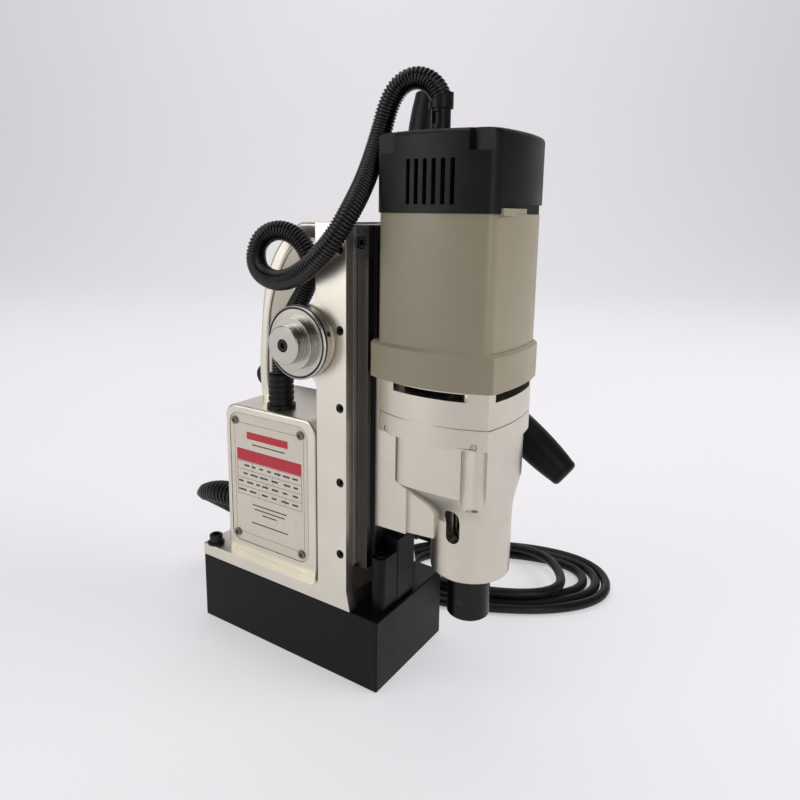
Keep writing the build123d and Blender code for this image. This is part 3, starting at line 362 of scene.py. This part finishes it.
LABEL = painted("label_plate", (0.66, 0.605, 0.51), 0.30, 2600, 0.12, patch=0.03)
LABEL_RED = painted("label_red", (0.48, 0.012, 0.030), 0.42, 2600, 0.1, patch=0.04)
LABEL_INK = painted("label_ink", (0.035, 0.035, 0.037), 0.5, 2600, 0.1)
CARBON = painted("carbon", (0.02, 0.02, 0.02), 0.6, 900)
LENS = painted("lens_amber", (0.75, 0.30, 0.03), 0.12, 400, 0.05, coat=0.6)

NODE_MATERIALS = {
    CASTING: ["stand_frame", "carry_handle", "switch_panel", "gear_plate"],
    CASE_METAL: ["gear_case"],
    TURNED: ["left_hub", "capstan_hub", "spokes"],
    GIB_STEEL: ["gib_strips", "spindle_bearings", "shaft_bearings"],
    PLATE_SCREW: ["name_plate_screws"],
    GEAR_STEEL: [
        "rack", "armature_shaft", "armature_core", "stator_core", "layshaft", "spindle", "spindle_gear",
        "feed_shaft", "motor_screws",
    ],
    BLACK_TOOL: ["arbor"],
    BLACK_OXIDE: [
        "gib_set_screws", "base_screws", "panel_screws", "top_block_screw", "hub_screws", "arbor_screws",
    ],
    COPPER: ["magnet_coils", "field_coils", "commutator"],
    BRASS: ["plug_pins", "brush_boxes"],
    BRONZE: ["feed_bushes"],
    MAGNET_BLACK: ["magnet_housing", "front_stop_block"],
    SLIDE_STEEL: ["slide"],
    SLIDE_BLACK: ["slide_top_block"],
    HOUSING: ["motor_housing"],
    CAP_BLACK: ["motor_end_cap", "conduit_gland", "conduit_fitting", "cooling_fan", "switch_bodies", "grips"],
    RUBBER: ["o_rings", "mains_plug", "spindle_seal", "cord_boot", "mains_cord", "mains_cord_coil"],
    CONDUIT: ["conduit"],
    RESIN: ["magnet_potting"],
    BOARD: ["control_board"],
    GREEN: ["start_button"],
    RED: ["stop_button", "magnet_rocker"],
    LABEL: ["name_plate"],
    CARBON: ["carbon_brushes"],
    LENS: ["pilot_lens"],
}


def finish_cad_nodes():
    for material, names in NODE_MATERIALS.items():
        for name in names:
            data = NODES[name].data
            data.materials.clear()
            data.materials.append(material)


# ---------------------------------------------------------------- mains cord
CORD_RADIUS = 3.9
CORD_BEVEL_STEPS = 5
CORD_FLOOR = 4.0
CORD_UPPER = 12.0
CORD_ROUTE = [
    (-7.0, 119.0, 82.0), (-1.5, 133, 76.5), (11, 145, 67), (29, 151.5, 54), (50, 149, 37), (69, 139, 18.5),
    (85, 122, 6.5), (99, 99, 4.0), (107, 72, 4.0), (106, 46, 4.0), (96, 22, 4.0),
]
PLUG_ENTRY = [(152, -20, CORD_UPPER), (150, -6, CORD_UPPER), (150, 8, 12.3)]

# Angles of the coil are in degrees. They run on from turn to turn.
COIL_CENTRE = (141.0, -84.0)
COIL_TILT = 27.0
COIL_START = -62
COIL_SWEEP = 3 * 360 + 242
POINTS_PER_TURN = 14
OVAL_EXPONENT = 0.88
# A turn begins at this angle, keeps its own size at first, and then changes into the next one.
FIRST_TURN_ANGLE = -270
CHANGE_AFTER = 150
CHANGE_SWEEP = 210
# The cord climbs onto its lower turns here.
CLIMB_ANGLE = 970
CLIMB_SWEEP = 70
# One row per turn: half width, half length, extra tilt, and how far its centre is shifted in X and in Y.
COIL_TURNS = [
    (62.0, 105.0, 0, 0, 0),
    (53.0, 96.0, 0, 0, 0),
    (44.0, 87.0, 0, 1, 0),
    (35.5, 77.0, 0, 1, 1),
    (46.0, 55.0, 5, -9, -4),
]


def rounded(size, value):
    """A slightly squarer oval than an ellipse, so that its ends bend less."""
    return -math.copysign(size * abs(value) ** OVAL_EXPONENT, value)


def clamped(value):
    return min(1.0, max(0.0, value))


def coil_turns():
    """Loose oval turns, each inside the last on the floor, and a short one crossing over them."""
    points = []
    for step in range(int(COIL_SWEEP / 360 * POINTS_PER_TURN) + 1):
        angle = COIL_START + 360 * step / POINTS_PER_TURN
        index, along = divmod(angle - FIRST_TURN_ANGLE, 360)
        share = clamped((along - CHANGE_AFTER) / CHANGE_SWEEP)
        rise = clamped((angle - CLIMB_ANGLE) / CLIMB_SWEEP)
        pair = COIL_TURNS[int(index)], COIL_TURNS[min(int(index) + 1, len(COIL_TURNS) - 1)]
        a, b, tilt, x, y = (p + (q - p) * share for p, q in zip(*pair))
        u = rounded(a, math.cos(math.radians(angle)))
        v = rounded(b, math.sin(math.radians(angle)))
        turn = math.radians(COIL_TILT + tilt)
        points.append((
            COIL_CENTRE[0] + x + u * math.cos(turn) - v * math.sin(turn),
            COIL_CENTRE[1] + y + u * math.sin(turn) + v * math.cos(turn),
            CORD_FLOOR + (CORD_UPPER - CORD_FLOOR) * rise,
        ))
    return points


def make_mains_cord():
    """The mains lead from the boot to the plug, as one NURBS line."""
    cord = route_curve("mains_cord_line", CORD_ROUTE + coil_turns() + PLUG_ENTRY)
    cord.data.materials.append(RUBBER)
    length = length_of(line_of(cord))
    cord.data.bevel_depth = CORD_RADIUS * MM
    cord.data.bevel_resolution = CORD_BEVEL_STEPS
    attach(cord, "stand")
    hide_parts("mains_cord", "mains_cord_coil")


# ---------------------------------------------------------------- conduit
CONDUIT_TOP = (-3, -98.4, 384)
CONDUIT_FOOT = (-20, 19, 202)
CONDUIT_ROUTE = [
    CONDUIT_FOOT, (-20, 19, 226), (-21.5, 8, 244), (-21.5, -9.5, 268), (-22.5, -12.5, 287), (-25, -2, 301),
    (-28.5, 12, 305), (-32, 24, 299), (-35.5, 27, 286), (-40.5, 17, 274.5), (-48, -8, 271), (-54.5, -36, 281),
    (-55.3, -55.2, 298), (-47.6, -63.8, 316.5), (-29.3, -62.7, 336.8), (-14, -61.5, 362), (-11, -66, 383),
    (-8.5, -73, 394), (-6, -84, 397.5), (-3.5, -95, 392), CONDUIT_TOP,
]
RIB_PITCH = 2.15
RIB_OUTER = 6.8
RIB_SHOULDER = RIB_OUTER - 0.25
RIB_ROOT = 5.6
RIB_RADII = (RIB_ROOT, RIB_SHOULDER, RIB_OUTER, RIB_SHOULDER)
CONDUIT_SEGMENTS = 20


def make_conduit():
    """Corrugated tube whose upper end reaches the drill head."""
    line = guide_line("conduit_guide", CONDUIT_ROUTE)
    path = resample(line, RIB_PITCH * MM / len(RIB_RADII))
    ribbed = swept_tube(path, lambda i: RIB_RADII[i % len(RIB_RADII)] * MM, CONDUIT_SEGMENTS)
    tube = mesh_piece("conduit_tube", ribbed, CONDUIT, smooth=60)
    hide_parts("conduit")
    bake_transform(tube)


make_camera()
make_mains_cord()
make_conduit()


# ---------------------------------------------------------------- strain relief
BOOT_ROUTE = [(-15, 62, 93), (-15, 84, 92.5), (-13, 103, 89), CORD_ROUTE[0]]
BOOT_STEP = 0.5
BOOT_SEGMENTS = 28
BOOT_RADIUS = 11.2
BOOT_TAPER = 4.0
GROOVE_DEPTH = 1.3
# Grooves lie between these shares of the length. Their pitch and width are counted in steps.
GROOVES_FROM = 0.16
GROOVES_TO = 0.93
GROOVE_PITCH = 9
GROOVE_WIDTH = 4


def make_boot():
    """Ribbed taper that replaces the plain strain relief."""
    path = resample(guide_line("boot_guide", BOOT_ROUTE), BOOT_STEP * MM)

    def radius(i):
        share = i / (len(path) - 1)
        in_groove = GROOVES_FROM < share < GROOVES_TO and i % GROOVE_PITCH < GROOVE_WIDTH
        return (BOOT_RADIUS - BOOT_TAPER * share - (GROOVE_DEPTH if in_groove else 0.0)) * MM

    boot = mesh_piece("strain_relief", swept_tube(path, radius, BOOT_SEGMENTS), RUBBER, smooth=50)
    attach(boot, "stand")
    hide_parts("cord_boot")


# ---------------------------------------------------------------- hub rings
HUB_FACE = 52.3
HUB_RING_RADIUS = 22.5
HUB_RING_HALF_WIDTH = 0.7
HUB_RING_PROUD = 0.35
HUB_RING_STEPS = 96
HUB_RING_SIDES = 10


def make_hub_rings():
    """Rubber rings that stand a little proud of the outer faces of both hub flanges."""
    bm = bmesh.new()
    centre_y, centre_z = FEED_AXIS[1]
    for side in (-1, 1):
        rows = []
        for step in range(HUB_RING_STEPS):
            angle = math.tau * step / HUB_RING_STEPS
            row = []
            for corner in range(HUB_RING_SIDES):
                around = math.tau * corner / HUB_RING_SIDES
                radius = (HUB_RING_RADIUS + HUB_RING_HALF_WIDTH * math.cos(around)) * MM
                x = side * (HUB_FACE + HUB_RING_PROUD * math.sin(around)) * MM
                y = centre_y + radius * math.cos(angle)
                z = centre_z + radius * math.sin(angle)
                row.append(bm.verts.new((x, y, z)))
            rows.append(row)
        for row, following in zip(rows, rows[1:] + rows[:1]):
            for k in range(HUB_RING_SIDES):
                after = (k + 1) % HUB_RING_SIDES
                bm.faces.new((row[k], row[after], following[after], following[k]))
    rings = mesh_piece("hub_face_rings", bm, RUBBER, smooth=60)
    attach(rings, "feed_capstan")


# ---------------------------------------------------------------- name plate print
PLATE_FACE_X = -34.05
PRINT_THICKNESS = 0.12
# Sides are in Y and heights in Z, both in millimetres.
TABLE_SIDES = (-11.5, 51.5)
BAND_HEIGHTS = (134.5, 143.5)
ROW_HEIGHTS = [134.0, 127.5, 121.0, 114.5, 108.0]
ROW_SPLITS = [(10, 36), (16,), (22,), (4, 30)]
TABLE_LINE = 0.12
FINE_LINE = 0.1
BORDER_SIDES = (-13.6, 53.6)
BORDER_HEIGHTS = (163.5, 77.1)
BORDER_UPRIGHTS = (80, 160)
ENTRY_HEIGHTS = (131, 124.5, 118, 111.3)
ENTRY_SIDES = (-8.0, 46)
ENTRY_WIDTHS = (3.5, 8.0)
ENTRY_GAPS = (2.0, 6.0)
ENTRY_HALF_HEIGHT = 0.7
ENTRY_SEED = 7
# The dashes that stand for lines of print: how high they are on the plate, and half their length.
PLATE_MIDDLE = 20
DASHES = [(148.4, 16), (101.5, 17), (98.2, 15), (95.0, 7), (87.0, 18)]
DASH_HALF_HEIGHT = 0.45
# A box on the plate, as plate_print takes it.
HEADING_BAR = (1, 41, 152.0, 157.5)


def level_line(sides, z, half):
    return (*sides, z - half, z + half)


def upright_line(y, heights, half):
    return (y - half, y + half, *heights)


def plate_print(name, boxes, material):
    """Thin raised print on the plate; boxes are (y0, y1, z0, z1)."""
    bm = bmesh.new()
    for y0, y1, z0, z1 in boxes:
        slab(bm, (PLATE_FACE_X, y0, z0), (PLATE_FACE_X + PRINT_THICKNESS, y1, z1))
    piece = mesh_piece(name, bm, material)
    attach(piece, "stand")


def table_lines():
    """The lines of an empty table, and the border of the plate."""
    whole = (ROW_HEIGHTS[-1], ROW_HEIGHTS[0])
    lines = [level_line(TABLE_SIDES, z, TABLE_LINE) for z in ROW_HEIGHTS]
    lines += [upright_line(y, whole, TABLE_LINE) for y in TABLE_SIDES]
    for top, bottom, splits in zip(ROW_HEIGHTS, ROW_HEIGHTS[1:], ROW_SPLITS):
        lines += [upright_line(y, (bottom, top), FINE_LINE) for y in splits]
    lines += [level_line(BORDER_SIDES, z, FINE_LINE) for z in BORDER_HEIGHTS]
    lines += [upright_line(y, BORDER_UPRIGHTS, FINE_LINE) for y in BORDER_SIDES]
    return lines


def print_bars():
    """Plain bars in place of the table's entries and of lines of print."""
    rng = random.Random(ENTRY_SEED)
    bars = []
    for z in ENTRY_HEIGHTS:
        y, last = ENTRY_SIDES
        while y < last:
            width = rng.uniform(*ENTRY_WIDTHS)
            bars.append(level_line((y, y + width), z, ENTRY_HALF_HEIGHT))
            y += width + rng.uniform(*ENTRY_GAPS)
    for z, half in DASHES:
        bars.append(level_line((PLATE_MIDDLE - half, PLATE_MIDDLE + half), z, DASH_HALF_HEIGHT))
    return bars


def make_plate_print():
    plate_print("plate_red_band", [(*TABLE_SIDES, *BAND_HEIGHTS)], LABEL_RED)
    plate_print("plate_table_lines", table_lines(), LABEL_INK)
    plate_print("plate_bars", print_bars(), LABEL_INK)
    plate_print("plate_heading_bar", [HEADING_BAR], LABEL_RED)


# ---------------------------------------------------------------- stage and light
FLOOR_FRONT = -6.0
FLOOR_BACK = 2.2
FLOOR_HALF_WIDTH = 6
FLOOR_DROP = 0.0002
SWEEP_RADIUS = 1.5
SWEEP_STEPS = 12
BACKDROP_HEIGHT = 6.0
STAGE_COLOUR = (0.455, 0.446, 0.46)
STAGE_PATCH = 0.008
STAGE_GLOW = (0.985, 0.965, 1.0, 1)
STAGE_GLOW_STRENGTH = 0.42

SKY_DIRECTION = (-0.62, 0.30, 0.72)
SKY_DARK_AT = -0.7
SKY_BRIGHT_AT = 0.8
SKY_DARK = 0.40
SKY_BRIGHT = 0.95
SKY_SEEN = (0.72, 0.71, 0.73, 1)
# Soft boxes: name, place, target, size, power, and whether gloss mirrors it.
SOFT_BOXES = [
    ("side", (-1.9, 1.2, 0.9), (0, 0, 0.2), (1.4, 1.6), 20, True),
    ("top", (-0.2, 0.2, 2.4), (0, 0, 0.2), (2.2, 2.2), 22, True),
    ("front", (0.9, -2.2, 1.3), (0, -0.1, 0.2), (1.4, 1.4), 44, False),
    ("wall", (0.9, 0.6, 2.6), (3.0, 2.0, 0.8), (2.0, 2.0), 34, False),
    ("strip", (-1.0, -1.55, 0.65), (0, -0.1, 0.25), (0.45, 1.3), 6, True),
]


def make_stage():
    """Pale floor that sweeps up into a backdrop behind the object."""
    bm = bmesh.new()
    away = Vector((math.sin(math.radians(CAMERA_YAW)), math.cos(math.radians(CAMERA_YAW)), 0))
    across = Vector((away.y, -away.x, 0))
    profile = [(FLOOR_FRONT, 0.0), (FLOOR_BACK, 0.0)]
    for step in range(1, SWEEP_STEPS + 1):
        angle = math.radians(90 * step / SWEEP_STEPS)
        distance = FLOOR_BACK + SWEEP_RADIUS * math.sin(angle)
        profile.append((distance, SWEEP_RADIUS - SWEEP_RADIUS * math.cos(angle)))
    profile.append((FLOOR_BACK + SWEEP_RADIUS, BACKDROP_HEIGHT))
    rows = []
    for distance, height in profile:
        middle = away * distance + Vector((0, 0, height))
        rows.append([bm.verts.new(middle + across * side) for side in (-FLOOR_HALF_WIDTH, FLOOR_HALF_WIDTH)])
    for low, high in zip(rows, rows[1:]):
        bm.faces.new((low[0], low[1], high[1], high[0]))
    shade = Shade("stage_pale", Roughness=0.8, Specular_IOR_Level=0.15)
    shade.colour(shade.ramp(shade.noise(3, 2), shades(STAGE_COLOUR, STAGE_PATCH)))
    shade.surface.inputs["Emission Color"].default_value = STAGE_GLOW
    shade.surface.inputs["Emission Strength"].default_value = STAGE_GLOW_STRENGTH
    stage = mesh_piece("stage_floor", bm, shade.material)
    stage.location.z = -FLOOR_DROP


def make_sky():
    """A pale sky, brightest high on the left, which the camera itself sees as one even tone."""
    world = bpy.data.worlds.new("studio")
    bpy.context.scene.world = world
    world.use_nodes = True
    nodes, links = world.node_tree.nodes, world.node_tree.links
    facing = nodes.new("ShaderNodeVectorMath")
    facing.operation = "DOT_PRODUCT"
    facing.inputs[1].default_value = SKY_DIRECTION
    links.new(nodes.new("ShaderNodeTexCoord").outputs["Generated"], facing.inputs[0])
    sky = nodes.new("ShaderNodeMapRange")
    sky.inputs["From Min"].default_value = SKY_DARK_AT
    sky.inputs["From Max"].default_value = SKY_BRIGHT_AT
    sky.inputs["To Min"].default_value = SKY_DARK
    sky.inputs["To Max"].default_value = SKY_BRIGHT
    links.new(facing.outputs["Value"], sky.inputs["Value"])
    links.new(sky.outputs["Result"], nodes["Background"].inputs["Strength"])
    seen = nodes.new("ShaderNodeBackground")
    seen.inputs["Color"].default_value = SKY_SEEN
    either = nodes.new("ShaderNodeMixShader")
    links.new(nodes.new("ShaderNodeLightPath").outputs["Is Camera Ray"], either.inputs["Fac"])
    links.new(nodes["Background"].outputs["Background"], either.inputs[1])
    links.new(seen.outputs["Background"], either.inputs[2])
    links.new(either.outputs["Shader"], nodes["World Output"].inputs["Surface"])


def area_light(name, place, target, size, power, mirrored):
    data = bpy.data.lights.new(name, "AREA")
    data.shape = "RECTANGLE"
    data.size, data.size_y = size
    data.energy = power
    light = link(bpy.data.objects.new(name, data))
    light.location = place
    light.rotation_euler = (Vector(target) - Vector(place)).to_track_quat("-Z", "Y").to_euler()
    light.visible_glossy = mirrored


def make_light():
    make_sky()
    for box in SOFT_BOXES:
        area_light(*box)
    bpy.context.scene.view_settings.view_transform = "Standard"


finish_cad_nodes()
make_boot()
make_hub_rings()
make_plate_print()
make_stage()
make_light()
